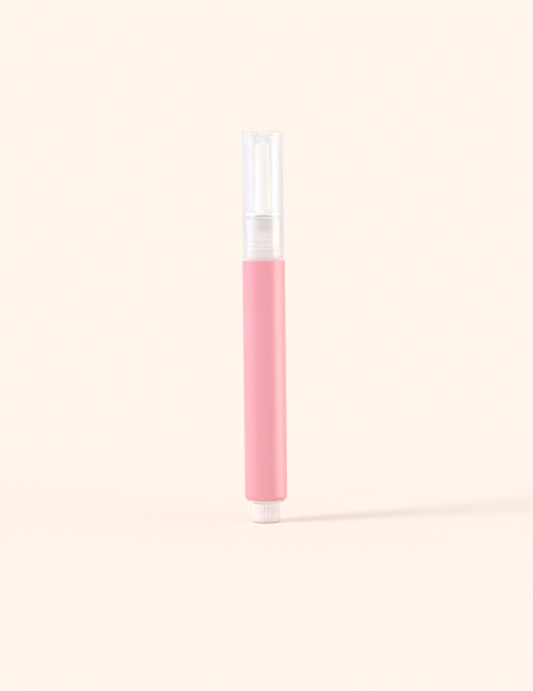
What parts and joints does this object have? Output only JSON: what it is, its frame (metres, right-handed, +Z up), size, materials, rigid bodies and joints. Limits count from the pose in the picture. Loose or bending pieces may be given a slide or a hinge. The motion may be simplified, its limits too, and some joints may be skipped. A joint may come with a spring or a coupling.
{
  "type": "nail glue remover pen",
  "caption": "Slim twist-up brush pen with a clear pull-off cap, a hat-shaped inner cap, a snap-fit neck, a plain round barrel and a ribbed click knob at its tail.",
  "frame": {"origin": "middle of the knob's flat foot, which is the lowest point of the pen as it stands", "axes": "+Z up the pen's axis, from the knob to the cap; the pen is round, and the sleeve's keys and the screw's flats lie on the X axis"},
  "size_m": [0.015, 0.015, 0.137],
  "materials": {
    "cap_clear": "polished clear",
    "inner_cap_natural": "translucent",
    "bristle_cream": "fine nylon strands",
    "ferrule_natural": "translucent",
    "tube_clear": "clear",
    "seat_natural": "translucent",
    "neck_natural": "translucent",
    "barrel_pink": "satin",
    "piston_white": "soft polyethylene",
    "screw_acetal": "moulded",
    "nut_acetal": "moulded",
    "sleeve_acetal": "moulded",
    "spring_acetal": "moulded",
    "ratchet_acetal": "moulded",
    "bush_natural": "translucent",
    "knob_natural": "translucent"
  },
  "bodies": {
    "barrel_body": {"barrel": "barrel_pink", "nozzle_neck": "neck_natural", "brush_seat": "seat_natural", "brush_ferrule": "ferrule_natural", "brush_bristles": "bristle_cream", "feed_tube": "tube_clear", "guide_nut": "nut_acetal", "ratchet_ring": "ratchet_acetal", "tail_bush": "bush_natural"},
    "cap": {"cap_shell": "cap_clear", "inner_cap": "inner_cap_natural"},
    "knob": {"twist_knob": "knob_natural", "drive_sleeve": "sleeve_acetal", "click_spring": "spring_acetal"},
    "screw": {"lead_screw": "screw_acetal"},
    "piston_body": {"piston": "piston_white"}
  },
  "joints": [
    {"name": "cap_pull", "type": "slide", "parent": "barrel_body", "child": "cap", "axis": [0, 0, 1], "range_m": [0, 0.045]},
    {"name": "knob_turn", "type": "hinge", "parent": "barrel_body", "child": "knob", "pos_m": [0, 0, 0], "axis": [0, 0, 1], "range_deg": [0, 4680], "deforming": ["click_spring"]},
    {"name": "screw_feed", "type": "slide", "parent": "knob", "child": "screw", "axis": [0, 0, 1], "range_m": [0, 0.0325]},
    {"name": "piston_slide", "type": "slide", "parent": "barrel_body", "child": "piston_body", "axis": [0, 0, 1], "range_m": [0, 0.0325]}
  ],
  "couplings": [
    {"joint": "knob_turn", "follows": "screw_feed", "rad_per_m": 2513.3},
    {"joint": "piston_slide", "follows": "screw_feed", "ratio": 1}
  ]
}
